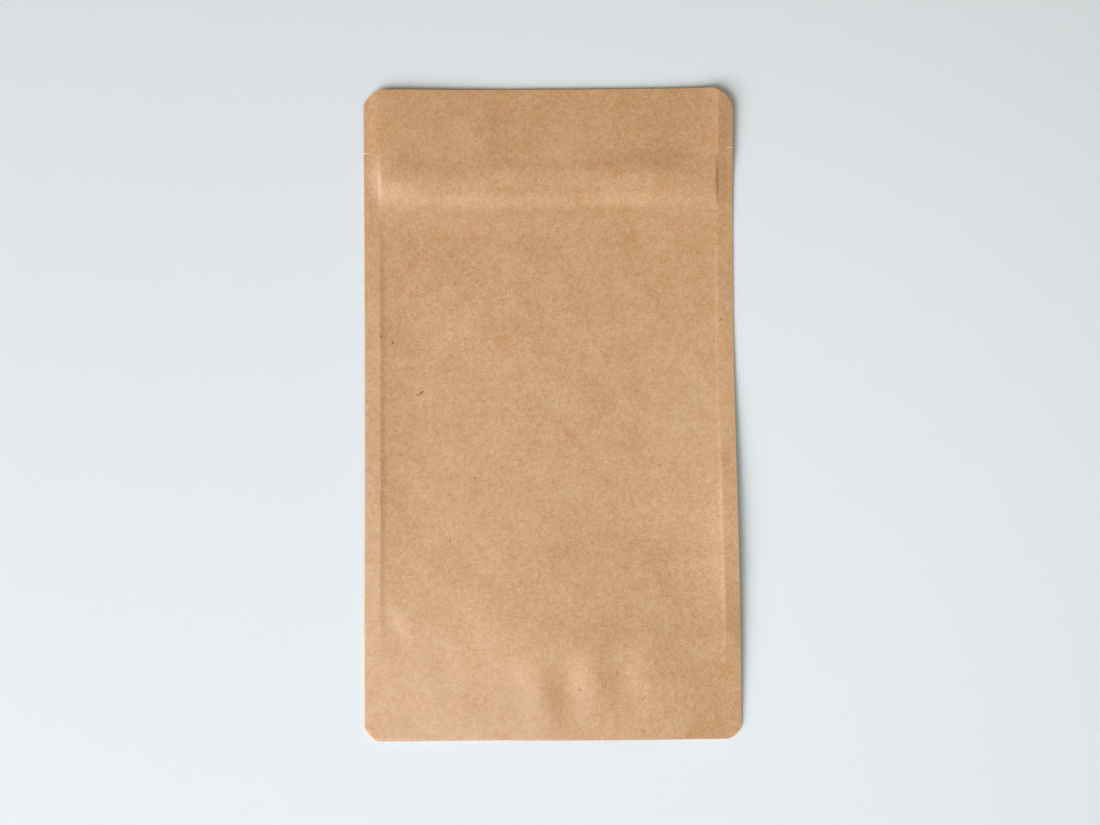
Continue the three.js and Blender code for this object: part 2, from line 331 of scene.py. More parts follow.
# bark bits on the front: place, turn of the long way, half length and half width, all in millimetres
barkMarks = [
    {"x": -54.9, "y": 24.3, "turn": 0.0, "long": 0.50, "wide": 0.46},
    {"x": -44.9, "y": 6.8, "turn": 38.0, "long": 1.25, "wide": 0.40},
    {"x": -46.1, "y": 6.0, "turn": 25.0, "long": 0.9, "wide": 0.25},
    {"x": -59.0, "y": 26.3, "turn": 0.0, "long": 0.46, "wide": 0.40},
    {"x": -26.6, "y": -23.3, "turn": 0.0, "long": 0.42, "wide": 0.38},
    {"x": -35.3, "y": -44.9, "turn": 90.0, "long": 0.7, "wide": 0.34},
    {"x": 60.0, "y": 31.6, "turn": 25.0, "long": 0.8, "wide": 0.30},
    {"x": 38.1, "y": -19.3, "turn": 0.0, "long": 0.36, "wide": 0.30},
    {"x": 9.2, "y": -96.2, "turn": 5.0, "long": 1.0, "wide": 0.26},
    {"x": 31.0, "y": -110.6, "turn": 0.0, "long": 0.40, "wide": 0.34},
    {"x": 31.4, "y": -98.8, "turn": 45.0, "long": 1.6, "wide": 0.15},
]


def newMaterial(name):
    material = bpy.data.materials.new(name)
    material.use_nodes = True
    nodes = material.node_tree.nodes
    nodes.clear()
    output = nodes.new("ShaderNodeOutputMaterial")
    shader = nodes.new("ShaderNodeBsdfPrincipled")
    material.node_tree.links.new(shader.outputs["BSDF"], output.inputs["Surface"])
    return material, material.node_tree, shader


def placed(tree, shift=(0, 0, 0), turn=0.0, scale=(1, 1, 1)):  # the piece's own coordinates, in millimetres
    coordinates = tree.nodes.new("ShaderNodeTexCoord")
    mapping = tree.nodes.new("ShaderNodeMapping")
    mapping.vector_type = "POINT"
    mapping.inputs["Location"].default_value = shift
    mapping.inputs["Rotation"].default_value = (0, 0, math.radians(turn))
    mapping.inputs["Scale"].default_value = [s / mm for s in scale]
    tree.links.new(coordinates.outputs["Object"], mapping.inputs["Vector"])
    return mapping.outputs["Vector"]


def noise(tree, vector, perMillimetre, detail=2.0, roughness=0.5, seed=0.0):  # centred on 0
    node = tree.nodes.new("ShaderNodeTexNoise")
    node.noise_dimensions = "4D"
    feed(tree, node.inputs["Vector"], vector)
    feed(tree, node.inputs["W"], seed)
    feed(tree, node.inputs["Scale"], perMillimetre)
    node.inputs["Detail"].default_value = detail
    node.inputs["Roughness"].default_value = roughness
    return Flow(tree, node.outputs[0]) - 0.5


def kraftNoise(tree, vector, label, seed):
    facts = kraft[label]
    return noise(tree, vector, facts["perMillimetre"], facts["detail"], facts["roughness"], seed)


def mixColour(tree, first, second, share):
    node = tree.nodes.new("ShaderNodeMix")
    node.data_type = "RGBA"
    feed(tree, node.inputs["Factor"], share)
    for slot, value in ((node.inputs[6], first), (node.inputs[7], second)):
        feed(tree, slot, (*value, 1) if isinstance(value, tuple) else value)
    return node.outputs[2]


def fibreStreaks(tree, turn, seed):  # short fibres lying one way
    long, wide = kraft["fibreLength"], kraft["fibreWidth"]
    lying = placed(tree, turn=turn, scale=(1 / long, 1 / wide, 1 / long))
    return smooth(noise(tree, lying, 1.0, detail=1.0, seed=seed), *kraft["fibreRange"])


def barkBits(tree, seed):  # one bit in each kept cell of a random grid, which each seed shifts elsewhere
    bits = kraft["bits"]
    vector = placed(tree, shift=(seed * 17.3, seed * 9.1, 0), turn=bits["turn"],
                    scale=(1, 1 / bits["stretch"], 0))
    node = tree.nodes.new("ShaderNodeTexVoronoi")
    node.voronoi_dimensions = "2D"
    tree.links.new(vector, node.inputs["Vector"])
    node.inputs["Scale"].default_value = 1 / bits["cell"]
    distance = Flow(tree, node.outputs["Distance"]) * bits["cell"]
    chosen = tree.nodes.new("ShaderNodeSeparateColor")
    tree.links.new(node.outputs["Color"], chosen.inputs[0])
    kept = Flow(tree, chosen.outputs["Red"]).via("LESS_THAN", bits["keep"])
    radius = Flow(tree, chosen.outputs["Green"]) * bits["reach"] + bits["least"]
    return (1.0 - smooth(distance, radius * bits["softFrom"], radius)) * kept * bits["share"]


def barkMark(x, y, mark):  # one bit of bark, a soft-ended sliver
    along, across = turnedPlace(x, y, mark)
    across = across * (mark["long"] / mark["wide"])
    distance = (along * along + across * across).via("SQRT")
    return 1.0 - smooth(distance, mark["long"] * kraft["markSoftFrom"], mark["long"])


# painted shade and painted light, mixed into the colour in broad spots
def paintedShadeAndLight(tree, colour, x, y, shadingSpots):  # broad darker and paler areas
    for spot in shadingSpots:
        near = hump(x, spot["x"], spot["wide"]) * hump(y, spot["y"], spot["long"])
        tone = kraft["paintedShadeTone"] if spot["share"] < 0 else kraft["paintedLightTone"]
        colour = mixColour(tree, colour, tone, near * abs(spot["share"]))
    return colour


def paintedGlint(x, y, fromCut):  # how strongly the painted highlight lies on the left seal, beside the end of the zip
    line, band = [hump(fromCut, glintPart["fromCut"], glintPart["reach"]) * glintPart["weight"]
                  for glintPart in (kraft["glintLine"], kraft["glintBand"])]
    beside = hump(y, mouthY - kraft["glintBelowMouth"], kraft["glintLong"])
    return (line + band) * beside * x.via("LESS_THAN", 0.0) * kraft["paintedGlintShare"]


# marks, the painted shade and light spots and the painted highlight are what one side of the pouch has and
# the other doesn't
def kraftMaterial(name, seed, marks=(), shadingSpots=(), withPaintedGlint=False):
    material, tree, shader = newMaterial(name)
    plain = placed(tree)
    x, y = splitPlace(tree, plain)
    cloud, mottle, grain = [kraftNoise(tree, plain, label, seed + index)
                            for index, label in enumerate(("cloud", "mottle", "grain"))]
    shade = (cloud * kraft["cloud"]["weight"] + mottle * kraft["mottle"]["weight"]
             + grain * kraft["grain"]["weight"] + 0.5)
    colour = mixColour(tree, kraft["dark"], kraft["light"], shade.via("ADD", 0.0, clamp=True))

    hue = kraftNoise(tree, plain, "hue", seed + 12)
    for label, sign in (("pinkPatch", 1.0), ("olivePatch", -1.0)):
        share = (hue * (sign * kraft["hue"]["weight"])).via("MAXIMUM", 0.0)
        colour = mixColour(tree, colour, kraft[label], share)

    streaks = [fibreStreaks(tree, turn, seed + 3 + index)
               for index, turn in enumerate(kraft["fibreTurns"])]
    pale, deep = strongest(streaks[0::2]), strongest(streaks[1::2])
    colour = mixColour(tree, colour, kraft["fibreLight"], pale * kraft["lightShare"])
    colour = mixColour(tree, colour, kraft["fibreDark"], deep * kraft["darkShare"])
    bark = strongest([barkBits(tree, seed + 2)] + [barkMark(x, y, mark) for mark in marks])
    colour = mixColour(tree, colour, kraft["bark"], bark * kraft["barkShare"])

    edge = tree.nodes.new("ShaderNodeAttribute")
    edge.attribute_name = "fromCut"
    fromCut = Flow(tree, edge.outputs["Fac"])
    line = (1.0 - smooth(fromCut, *kraft["cutReach"])) * (mottle + kraft["cutShare"])
    colour = mixColour(tree, colour, kraft["cutLine"], line.via("MAXIMUM", 0.0))
    # painted shade and painted light in broad spots
    colour = paintedShadeAndLight(tree, colour, x, y, shadingSpots)
    # painted highlight: a pale glint on the left seal beside the zip's end
    if withPaintedGlint:
        colour = mixColour(tree, colour, kraft["paintedGlintColour"], paintedGlint(x, y, fromCut))
    tree.links.new(colour, shader.inputs["Base Color"])

    feed(tree, shader.inputs["Roughness"], grain * kraft["grainRoughness"] + kraft["roughness"])
    bump = tree.nodes.new("ShaderNodeBump")
    bump.inputs["Strength"].default_value = kraft["bumpStrength"]
    bump.inputs["Distance"].default_value = kraft["bumpHeight"] * mm
    surface = grain
    for field, weight in zip((mottle, pale, deep), kraft["bumpWeights"]):
        surface = surface + field * weight
    feed(tree, bump.inputs["Height"], surface)
    tree.links.new(bump.outputs["Normal"], shader.inputs["Normal"])
    return material


def plainMaterial(name, colour, roughness, variation=0.04, perMillimetre=2.0):
    material, tree, shader = newMaterial(name)
    shade = noise(tree, placed(tree), perMillimetre) + 0.5
    darker = tuple(c * (1 - 2 * variation) for c in colour)
    lighter = tuple(min(c * (1 + 2 * variation), 1.0) for c in colour)
    tree.links.new(mixColour(tree, darker, lighter, shade), shader.inputs["Base Color"])
    shader.inputs["Roughness"].default_value = roughness
    return material


# the front carries the bark marks, the painted shade and light spots and the painted highlight
kraftFront = kraftMaterial("kraftFront", 1.0, barkMarks, paintedShadingSpots, withPaintedGlint=True)
kraftBack = kraftMaterial("kraftBack", 21.0)
cutPaper = plainMaterial("cutPaper", (0.74, 0.54, 0.36), 0.85)
innerFilm = plainMaterial("innerFilm", (0.86, 0.72, 0.56), 0.4)
print("materials: kraft front and back, cut edge, inner film")


# the pressed relief, the same rule for every layer; heights are above the table
relief = {
    "Left Seal Width": 5.5,
    "Right Seal Width": 5.0,
    "Bottom Seal": 8.0,
    "Gusset Depth": 38.0,
    "Laminate": 0.13,
    "Layer Gap": 0.012,
    # outline: both sides draw in at the waist, the mouth sags and the back stands out below the front
    "Left Waist": 0.35,
    "Right Waist": 0.72,
    "Mouth Dip": 0.25,
    "Bottom Ledge": 0.55,
    "Ledge Slant": 0.25,
    "Cut Rounding": 0.03,
    # cut edges of the side seals: the right one springs well up off the table
    "Rim Height": 0.62,
    "Left Rim Lift": 0.8,
    "Left Mouth Lift": 1.3,
    "Right Rim Lift": 2.9,
    "Right Mouth Lift": 2.6,
    # inner lines of the side seals, above their cut edges
    "Left Inner Rise": 0.17,
    "Left Upper Rise": 0.32,
    "Left Top Ridge": 0.15,
    "Right Inner Rise": 0.05,
    "Right Bottom Rise": 0.40,
    "Right Lower Drop": 0.18,
    "Right Waist Drop": 0.432,
    "Right Upper Rise": 0.12,
    "Right Mouth Rise": 0.40,
    "Right Mouth Settle": 0.4,
    "Left Step": 0.20,
    "Right Step": 0.15,
    "Right Step Least": 0.45,
    "Left Fade": 6.4,
    "Right Fade": 9.2,
    "Under Fade": 28.0,
    # front panel, swollen over the folded gusset
    "Panel Height": 0.62,
    "Left Swell": 0.48,
    "Right Swell": 3.1,
    "Swell Below Mouth": 172.5,
    "Swell Slant": 0.22,
    "Swell Run": 36.0,
    "Swell Tighter": 0.25,
    "Swell Settle": 0.40,
    "Fold Drop": 0.45,
    "Fold Softness": 8.0,
    "Fold Thinning": 3.0,
    "Fold Rounding": 2.0,
    "Side Lift": 1.2,
    # press-to-close zip and its crushed ends in the seals
    "Zip Below Mouth": 43.2,
    "Zip Foot": 0.27,
    "Zip Lower Rise": 0.68,
    "Zip Upper Rise": 0.50,
    "Zip Drop": 0.13,
    "Zip Right Settle": 0.45,
    "Zip Room": 0.25,
    "Left End Band": 0.686,
    "Left End Upper Drop": 0.4,
    "Left End Line": 0.3332,
    "Left End Settle": 0.8,
    "Right End Sink": 0.396,
    "Right End Band": 0.297,
    "Right End Line": 0.528,
    "Right End Panel": 0.33,
    # lips at the mouth
    "Lip Height": 1.38,
    "Lip Low Place": -10.0,
    "Lip Right Curl": 0.1,
    "Lip Left Curl": 0.8,
    "Lip Opening": 0.35,
    # small waves
    "Buckle Height": 0.46,
    "Buckle Pitch": 21.0,
    "Buckle Top": -5.75,
    "Ripple Height": 0.44,
    "Ripple Width": 16.0,
    "Ripple Length": 46.0,
    "Seed": 4.0,
}

# humps: where the middle of each is and how far it reaches to either side
humps = {
    # across the pouch
    "buckleAcross": (9.0, 34.0),
    # along the pouch
    "leftWaist": (0.0, 95.0),
    "rightWaist": (17.0, 110.0),
    "leftRim": (-18.0, 95.0),
    "rightRim": (-48.0, 84.0),
    "leftUpper": (36.0, 38.0),
    "rightLowerDrop": (-40.0, 18.0),
    "rightWaistDrop": (6.0, 31.0),
    "sideLift": (-58.0, 75.0),
    "buckleAlong": (-93.0, 18.0),
    # in from the cut edge
    "topRidge": (4.6, 2.2),
    # up from the lower edge of the zip
    "zipNoStep": (10.0, 16.0),
    "zipLeftLine": (10.4, 12.6),
    "zipRightEnd": (11.0, 12.0),
    "zipRoom": (10.0, 28.0),
    "zipTrack": (10.0, 8.6),
}

# rises: where each starts and where it is complete
rises = {
    # across the pouch
    "rightHalf": (-20.0, 20.0),
    "swellSides": (-55.0, 5.0),
    "swellTighter": (0.0, 60.0),
    "swellSettle": (30.0, 64.0),
    "foldSides": (-60.0, 20.0),
    "zipSettle": (24.0, 52.0),
    "sideLift": (-62.0, 64.0),
    # along the pouch
    "leftMouth": (74.0, mouthY + 8.0),
    "rightMouth": (62.0, 112.0),
    "rightBottom": (-72.0, -44.0),
    "rightUpper": (28.0, 45.0),
    "mouthRise": (68.0, 82.0),
    "mouthSettle": (92.0, 112.0),
    "leftStepStart": (-78.0, -60.0),
    "rightStepStart": (-62.0, -20.0),
    "stepEnd": (60.0, 72.0),
    "topRidge": (78.0, 92.0),
    "mouthDip": (mouthY - 40.0, mouthY),
    "bottomLedge": (bottomY, bottomY + 12.0),
    # up from the lower edge of the zip
    "zipFoot": (-9.6, 0.4),
    "zipLower": (0.0, 6.4),
    "zipUpper": (4.4, 14.4),
    "zipDrop": (14.4, 18.9),
    "leftEnd": (2.6, 11.6),
    # in from the cut edge
    "leftEndBand": (1.0, 6.6),
    "leftEndLine": (5.1, 5.9),
    "leftEndSettle": (9.0, 36.0),
    "rightEndBand": (0.5, 4.8),
    "rightEndLine": (4.8, 6.3),
    "rightEndPanel": (5.0, 24.0),
    "rightEndSettle": (22.0, 60.0),
    "cutRounding": (0.0, 0.7),
    # in from the inner line of a seal
    "leftStep": (-0.3, 1.8),
    "rightStep": (0.2, 1.6),
    "ripples": (0.0, 10.0),
    "middle": (30.0, 55.0),
}
lipFoot = 17.4  # the lips start this far above the lower edge of the zip
leftEndTop = 14.0  # and its left end weakens from here up to the mouth
rippleTurn = -50.0
stepEase = 6.0  # a step has eased away at this many of its widths

# creases that handling left: place, turn of the long direction, half length and width, and height
creases = [
    {"x": -54.5, "y": -72.0, "turn": -54.0, "long": 14.0, "wide": 6.0, "height": 0.50, "step": True},
    {"x": -46.0, "y": 36.0, "turn": -48.0, "long": 38.0, "wide": 16.0, "height": 0.50, "step": True},
    {"x": -50.0, "y": 100.0, "turn": -40.0, "long": 22.0, "wide": 10.0, "height": 0.12, "step": True},
    {"x": 45.0, "y": 30.0, "turn": 60.0, "long": 40.0, "wide": 12.0, "height": 0.10, "step": True},
    {"x": -38.5, "y": 91.5, "turn": -51.0, "long": 13.0, "wide": 5.0, "height": 0.05, "step": False},
    {"x": 0.5, "y": 98.0, "turn": -49.0, "long": 12.0, "wide": 5.0, "height": 0.05, "step": False},
    {"x": -14.0, "y": 103.0, "turn": 82.0, "long": 16.0, "wide": 9.0, "height": -0.14, "step": False},
    {"x": 53.0, "y": -75.0, "turn": -40.0, "long": 9.0, "wide": 6.0, "height": -0.22, "step": False},
    {"x": -40.0, "y": -93.0, "turn": 90.0, "long": 14.0, "wide": 7.0, "height": 0.35, "step": True},
    {"x": 43.0, "y": 38.0, "turn": -50.0, "long": 26.0, "wide": 11.0, "height": -0.18, "step": False},
]

# bends that take the seal along with the panel
bends = [
    {"x": 56.0, "y": -74.0, "turn": -38.0, "long": 8.0, "wide": 4.0, "height": -0.16, "step": True},
    {"x": 54.0, "y": 104.0, "turn": -38.0, "long": 30.0, "wide": 16.0, "height": -0.45, "step": True},
]


def creaseHeight(x, y, crease):  # a step that eases away again, or a ridge
    along, across = turnedPlace(x, y, crease)
    wide = crease["wide"]
    if crease["step"]:
        shape = smooth(across, -wide / 2, wide / 2) - smooth(across, wide, wide * stepEase)
    else:
        shape = hump(across, 0.0, wide)
    return shape * hump(along, 0.0, crease["long"]) * crease["height"]


def leftSeal(size, y):  # heights of its cut edge and of its inner line
    rim = size["Rim Height"] + size["Left Rim Lift"] * hump(y, *humps["leftRim"])
    rim = rim + size["Left Mouth Lift"] * smooth(y, *rises["leftMouth"])
    return rim, rim + size["Left Inner Rise"] + size["Left Upper Rise"] * hump(y, *humps["leftUpper"])


def rightSeal(size, y):  # heights of its cut edge and of its inner line
    rim = size["Rim Height"] + size["Right Rim Lift"] * hump(y, *humps["rightRim"])
    rim = rim + size["Right Mouth Lift"] * smooth(y, *rises["rightMouth"])
    inner = rim + size["Right Inner Rise"]
    inner = inner + size["Right Bottom Rise"] * (1.0 - smooth(y, *rises["rightBottom"]))
    inner = inner - size["Right Lower Drop"] * hump(y, *humps["rightLowerDrop"])
    inner = inner - size["Right Waist Drop"] * hump(y, *humps["rightWaistDrop"])
    inner = inner + size["Right Upper Rise"] * smooth(y, *rises["rightUpper"])
    settled = 1.0 - size["Right Mouth Settle"] * smooth(y, *rises["mouthSettle"])
    return rim, inner + size["Right Mouth Rise"] * smooth(y, *rises["mouthRise"]) * settled


def lipHeight(size, x):  # the free edge of the front panel at the mouth
    fromLow = x - size["Lip Low Place"]
    toRight = (fromLow / (halfWidth - size["Lip Low Place"])).via("MAXIMUM", 0.0).via("MINIMUM", 1.0)
    toLeft = (fromLow * -1.0 / (halfWidth + size["Lip Low Place"])).via("MAXIMUM", 0.0)
    rightCurl = (1.0 - (toRight * math.pi).via("COSINE")) * (size["Lip Right Curl"] * 0.5)
    return size["Lip Height"] + rightCurl + size["Lip Left Curl"] * toLeft * toLeft


def swellHeight(size, x, y):  # the panel over the folded gusset, slanting down towards the right side
    swellY = mouthY - size["Swell Below Mouth"] - size["Swell Slant"] * x.via("MAXIMUM", 0.0)
    run = size["Swell Run"] * (1.0 - size["Swell Tighter"] * smooth(x, *rises["swellTighter"]))
    swell = blendTo(size["Left Swell"], size["Right Swell"], smooth(x, *rises["swellSides"]))
    swell = swell * (1.0 - smooth(y, swellY - run, swellY + run))
    swell = swell * (1.0 - size["Swell Settle"] * smooth(x, *rises["swellSettle"]))
    foldY = bottomY + size["Gusset Depth"]
    belowFold = 1.0 - smooth(y, foldY - size["Fold Softness"], foldY + size["Fold Softness"])
    return swell + size["Fold Drop"] * belowFold * smooth(x, *rises["foldSides"])


def zipHeight(size, x, aboveZip):  # the raised band of the zip, lower towards its right end
    band = size["Zip Foot"] * smooth(aboveZip, *rises["zipFoot"])
    band = band + size["Zip Lower Rise"] * smooth(aboveZip, *rises["zipLower"])
    band = band + size["Zip Upper Rise"] * smooth(aboveZip, *rises["zipUpper"])
    band = band - size["Zip Drop"] * smooth(aboveZip, *rises["zipDrop"])
    return band * (1.0 - size["Zip Right Settle"] * smooth(x, *rises["zipSettle"]))


def panelHeight(size, x, y, aboveZip, toMouth):  # the front panel away from the seals
    panel = size["Panel Height"] + swellHeight(size, x, y) + zipHeight(size, x, aboveZip)
    panel = panel + size["Side Lift"] * hump(y, *humps["sideLift"]) * smooth(x, *rises["sideLift"])
    panel = blendTo(panel, lipHeight(size, x), toMouth)
    wave = ((x - size["Buckle Top"]) / size["Buckle Pitch"] * (2 * math.pi)).via("COSINE")
    wave = wave * hump(x, *humps["buckleAcross"]) * hump(y, *humps["buckleAlong"])
    panel = panel + size["Buckle Height"] * wave
    for crease in creases:
        panel = panel + creaseHeight(x, y, crease)
    return panel


def ripples(size, x, y):  # faint slanting waves of the springy laminate
    along, across = turnedPlace(x, y, {"x": 0.0, "y": 0.0, "turn": rippleTurn})
    place = x.tree.nodes.new("ShaderNodeCombineXYZ")
    feed(x.tree, place.inputs["X"], along / size["Ripple Length"])
    feed(x.tree, place.inputs["Y"], across / size["Ripple Width"])
    return noise(x.tree, place.outputs[0], 1.0, seed=size["Seed"]) * size["Ripple Height"]


def steps(size, y, fromEdge, seal, aboveZip, toRight):  # the panel steps down inside a seal's inner line
    inwards = fromEdge - seal
    left = size["Left Step"] * smooth(inwards, *rises["leftStep"]) * smooth(y, *rises["leftStepStart"])
    left = left * (1.0 - smooth(y, *rises["stepEnd"]))
    full = smooth(y, *rises["rightStepStart"]) * (1.0 - smooth(y, *rises["stepEnd"]))
    right = size["Right Step"] * smooth(inwards, *rises["rightStep"])
    right = right * blendTo(size["Right Step Least"], 1.0, full)
    return blendTo(left, right * (1.0 - hump(aboveZip, *humps["zipNoStep"])), toRight)


def leftZipEnd(size, fromEdge, aboveZip):  # presses up through the left seal
    along = smooth(aboveZip, *rises["leftEnd"])
    nearMouth = smooth(aboveZip, leftEndTop, size["Zip Below Mouth"])
    along = along * (1.0 - size["Left End Upper Drop"] * nearMouth)
    end = size["Left End Band"] * smooth(fromEdge, *rises["leftEndBand"]) * along
    line = smooth(fromEdge, *rises["leftEndLine"]) * hump(aboveZip, *humps["zipLeftLine"])
    end = end + size["Left End Line"] * line
    return end * (1.0 - size["Left End Settle"] * smooth(fromEdge, *rises["leftEndSettle"]))


def rightZipEnd(size, fromEdge, aboveZip):  # sunk in the right seal, with a steep line beside it
    end = size["Right End Band"] * smooth(fromEdge, *rises["rightEndBand"]) - size["Right End Sink"]
    end = end + size["Right End Line"] * smooth(fromEdge, *rises["rightEndLine"])
    end = end + size["Right End Panel"] * smooth(fromEdge, *rises["rightEndPanel"])
    return end * hump(aboveZip, *humps["zipRightEnd"]) * (1.0 - smooth(fromEdge, *rises["rightEndSettle"]))


def pouchHeights(size, x, y, fromCut):  # the front and the underside, in millimetres
    foldY = bottomY + size["Gusset Depth"]
    aboveZip = y - (mouthY - size["Zip Below Mouth"])
    toMouth = smooth(aboveZip, lipFoot, size["Zip Below Mouth"])
    fromEdge = halfWidth - x.via("ABSOLUTE")
    toRight = smooth(x, *rises["rightHalf"])
    seal = blendTo(size["Left Seal Width"], size["Right Seal Width"], toRight)
    fromSeal = (fromEdge - seal).via("MAXIMUM", 0.0)
    isInside = fromEdge.via("GREATER_THAN", seal)
    leftRim, leftInner = leftSeal(size, y)
    rightRim, rightInner = rightSeal(size, y)
    rim = blendTo(leftRim, rightRim, toRight)
    inner = blendTo(leftInner, rightInner, toRight)

    # from the seal's inner line the panel settles to its own level
    nearSides = 1.0 - smooth(fromSeal, *rises["middle"])
    fade = blendTo(size["Left Fade"], size["Right Fade"], toRight)
    settled = (fromSeal / fade * -1.0).via("EXPONENT") * nearSides
    panel = panelHeight(size, x, y, aboveZip, toMouth)
    panel = panel + ripples(size, x, y) * smooth(fromSeal, *rises["ripples"])
    band = blendTo(rim, inner, (fromEdge / seal).via("MINIMUM", 1.0))
    top = blendTo(band, panel + (inner - panel) * settled, isInside)

    # what stands out near the sides: the steps, the zip's ends and a faint ridge above the left one
    top = top - steps(size, y, fromEdge, seal, aboveZip, toRight) * nearSides
    ends = blendTo(leftZipEnd(size, fromEdge, aboveZip), rightZipEnd(size, fromEdge, aboveZip), toRight)
    ridge = size["Left Top Ridge"] * hump(fromEdge, *humps["topRidge"]) * smooth(y, *rises["topRidge"])
    top = top + (ends + ridge * (1.0 - toRight)) * nearSides
    for bend in bends:
        top = top + creaseHeight(x, y, bend)
    top = top - size["Cut Rounding"] * (1.0 - smooth(fromCut, *rises["cutRounding"]))

    # stacks of laminate in the seals: two layers, four where the gusset is sealed in
    pair = size["Laminate"] * 2.0 + size["Layer Gap"]
    four = pair * 2.0 + size["Layer Gap"]
    stack = blendTo(four, pair, smooth(y, foldY - size["Fold Thinning"], foldY + size["Fold Thinning"]))

    # underside: flat on the table in the middle, carried up by the seals and the mouth
    lift = 1.0 - smooth(fromSeal, 0.0, size["Under Fade"])
    sealed = blendTo(band - stack, (inner - stack) * lift, isInside)
    lipUnder = lipHeight(size, x) - size["Lip Opening"] - pair
    besideTrack = hump(aboveZip, *humps["zipRoom"]) - hump(aboveZip, *humps["zipTrack"])
    under = sealed.via("MAXIMUM", lipUnder * toMouth) + size["Zip Room"] * besideTrack * isInside
    under = under.via("MINIMUM", top - stack).via("MAXIMUM", 0.0)
    return top, under


def namedField(tree, name, kind="FLOAT"):
    node = tree.nodes.new("GeometryNodeInputNamedAttribute")
    node.data_type = kind
    node.inputs["Name"].default_value = name
    return Flow(tree, node.outputs["Attribute"])


def vectorOf(tree, **parts):
    node = tree.nodes.new("ShaderNodeCombineXYZ")
    for axis, value in parts.items():
        feed(tree, node.inputs[axis], value)
    return node.outputs[0]


def layerHeight(size, y, top, under, isBack):  # of the upper side of one sheet of the stack
    spacing = size["Laminate"] + size["Layer Gap"]
    order = size["Place In Stack"]
    fromTop = top - spacing * order
    fromUnder = under + spacing * (3.0 - order) + size["Laminate"]
    height = blendTo(fromTop, fromUnder, isBack)

    # between the bottom seal and their fold the two legs of the gusset lean together
    isLeg = (order - 1.5).via("ABSOLUTE").via("LESS_THAN", 1.0)
    foldStart = bottomY + size["Gusset Depth"] - size["Fold Rounding"]
    toFold = smooth(y, bottomY + size["Bottom Seal"], foldStart)
    foldHeight = (top + under) * 0.5 + spacing * (2.0 - order)
    return blendTo(height, foldHeight, toFold * isLeg)


def pressedPlace(tree, size):  # where each point of the blank comes to lie
    here = tree.nodes.new("GeometryNodeInputPosition")
    acrossMetres, alongMetres = splitPlace(tree, here.outputs[0])
    x, y = acrossMetres / mm, alongMetres / mm
    top, under = pouchHeights(size, x, y, namedField(tree, "fromCut"))
    isBack = size["Place In Stack"].via("GREATER_THAN", 1.5)
    height = layerHeight(size, y, top, under, isBack)
    across = x / halfWidth
    leftWaist = size["Left Waist"] * hump(y, *humps["leftWaist"])
    rightWaist = size["Right Waist"] * hump(y, *humps["rightWaist"])
    waist = blendTo(leftWaist, rightWaist, x.via("GREATER_THAN", 0.0))
    dip = size["Mouth Dip"] * (1.0 - across * across) * smooth(y, *rises["mouthDip"])
    ledge = size["Bottom Ledge"] * (1.0 - size["Ledge Slant"] * (across + 1.0))
    ledge = ledge * (1.0 - smooth(y, *rises["bottomLedge"])) * (1.0 - isBack)
    return vectorOf(tree, X=(x - across * waist) * mm, Y=(y - dip + ledge) * mm, Z=height * mm)


weldWithin = 0.002  # points closer than this become one


def thickened(tree, sheet, thickness):  # the sheet with its underside and its cut edge, closed
    nodes, links = tree.nodes, tree.links
    down = nodes.new("GeometryNodeExtrudeMesh")
    down.mode = "FACES"
    down.inputs["Individual"].default_value = False
    links.new(vectorOf(tree, Z=-1.0), down.inputs["Offset"])
    links.new(sheet, down.inputs["Mesh"])
    feed(tree, down.inputs["Offset Scale"], thickness)
    turned = nodes.new("GeometryNodeFlipFaces")
    links.new(down.outputs["Mesh"], turned.inputs["Mesh"])
    current = turned.outputs[0]
    for label, chosen in (("cutEdge", down.outputs["Side"]), ("lowerFace", down.outputs["Top"])):
        marked = nodes.new("GeometryNodeStoreNamedAttribute")
        marked.data_type = "BOOLEAN"
        marked.domain = "FACE"
        marked.inputs["Name"].default_value = label
        links.new(current, marked.inputs["Geometry"])
        links.new(chosen, marked.inputs["Value"])
        current = marked.outputs[0]
    joined = nodes.new("GeometryNodeJoinGeometry")
    links.new(sheet, joined.inputs[0])
    links.new(current, joined.inputs[0])
    welded = nodes.new("GeometryNodeMergeByDistance")
    welded.inputs["Distance"].default_value = weldWithin * mm
    links.new(joined.outputs[0], welded.inputs["Geometry"])
    return welded.outputs[0]


# the kraft face looks out of the pouch and the film looks in, so layers 1 and 3 have their kraft below
def painted(tree, current, source, order):
    kraftBelow = order.via("COMPARE", 1.0, 0.1).via("MAXIMUM", order.via("COMPARE", 3.0, 0.1))
    filmFaces = (namedField(tree, "lowerFace", "BOOLEAN") - kraftBelow).via("ABSOLUTE")
    cutFaces = namedField(tree, "cutEdge", "BOOLEAN")
    for label, chosen in (("Kraft", True), ("Inner Film", filmFaces), ("Cut Edge", cutFaces)):
        paint = tree.nodes.new("GeometryNodeSetMaterial")
        tree.links.new(current, paint.inputs["Geometry"])
        feed(tree, paint.inputs["Selection"], chosen)
        tree.links.new(source.outputs[label], paint.inputs["Material"])
        current = paint.outputs[0]
    return current


